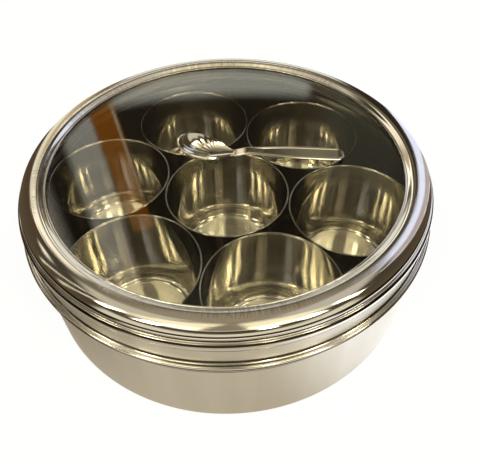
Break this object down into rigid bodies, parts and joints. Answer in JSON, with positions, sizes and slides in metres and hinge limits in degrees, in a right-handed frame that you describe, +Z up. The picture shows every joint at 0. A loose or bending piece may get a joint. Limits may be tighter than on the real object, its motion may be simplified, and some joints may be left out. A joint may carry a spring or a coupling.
{
  "type": "masala dabba spice box",
  "caption": "Round stainless steel spice box with a see-through lid, loose cups standing inside, and a small spoon lying on the lid.",
  "frame": {"origin": "centre of the box's flat base, on the table", "axes": "+Z up along the box's axis; -Y is the front, the side the picture is taken from; +X to the right"},
  "size_m": [0.1966, 0.1966, 0.0757],
  "materials": {
    "satin_steel": "satin stainless steel, brushed round the body, with polished beads",
    "polished_steel": "mirror-polished stainless steel with fine wear scratches",
    "cup_steel": "bright stainless steel with faint vertical drawing marks",
    "clear_pane": "clear and glossy"
  },
  "bodies": {
    "box": {"box": "satin_steel"},
    "lid": {"lid_ring": "polished_steel", "lid_pane": "clear_pane", "pane_retainer": "satin_steel"},
    "cup_center": {"cup_center": "cup_steel"},
    "cup_1": {"cup_1": "cup_steel"},
    "cup_2": {"cup_2": "cup_steel"},
    "cup_3": {"cup_3": "cup_steel"},
    "cup_4": {"cup_4": "cup_steel"},
    "cup_5": {"cup_5": "cup_steel"},
    "cup_6": {"cup_6": "cup_steel"},
    "spoon": {"spoon": "polished_steel"}
  },
  "joints": [
    {"name": "lid_lift", "type": "slide", "parent": "box", "child": "lid", "axis": [0, 0, 1], "range_m": [0, 0.12]},
    {"name": "cup_center_lift", "type": "slide", "parent": "box", "child": "cup_center", "axis": [0, 0, 1], "range_m": [0, 0.018]},
    {"name": "cup_1_lift", "type": "slide", "parent": "box", "child": "cup_1", "axis": [0, 0, 1], "range_m": [0, 0.015]},
    {"name": "cup_2_lift", "type": "slide", "parent": "box", "child": "cup_2", "axis": [0, 0, 1], "range_m": [0, 0.015]},
    {"name": "cup_3_lift", "type": "slide", "parent": "box", "child": "cup_3", "axis": [0, 0, 1], "range_m": [0, 0.015]},
    {"name": "cup_4_lift", "type": "slide", "parent": "box", "child": "cup_4", "axis": [0, 0, 1], "range_m": [0, 0.015]},
    {"name": "cup_5_lift", "type": "slide", "parent": "box", "child": "cup_5", "axis": [0, 0, 1], "range_m": [0, 0.015]},
    {"name": "cup_6_lift", "type": "slide", "parent": "box", "child": "cup_6", "axis": [0, 0, 1], "range_m": [0, 0.015]},
    {"name": "spoon_lift", "type": "slide", "parent": "lid", "child": "spoon", "axis": [0, 0, 1], "range_m": [0, 0.08]}
  ]
}
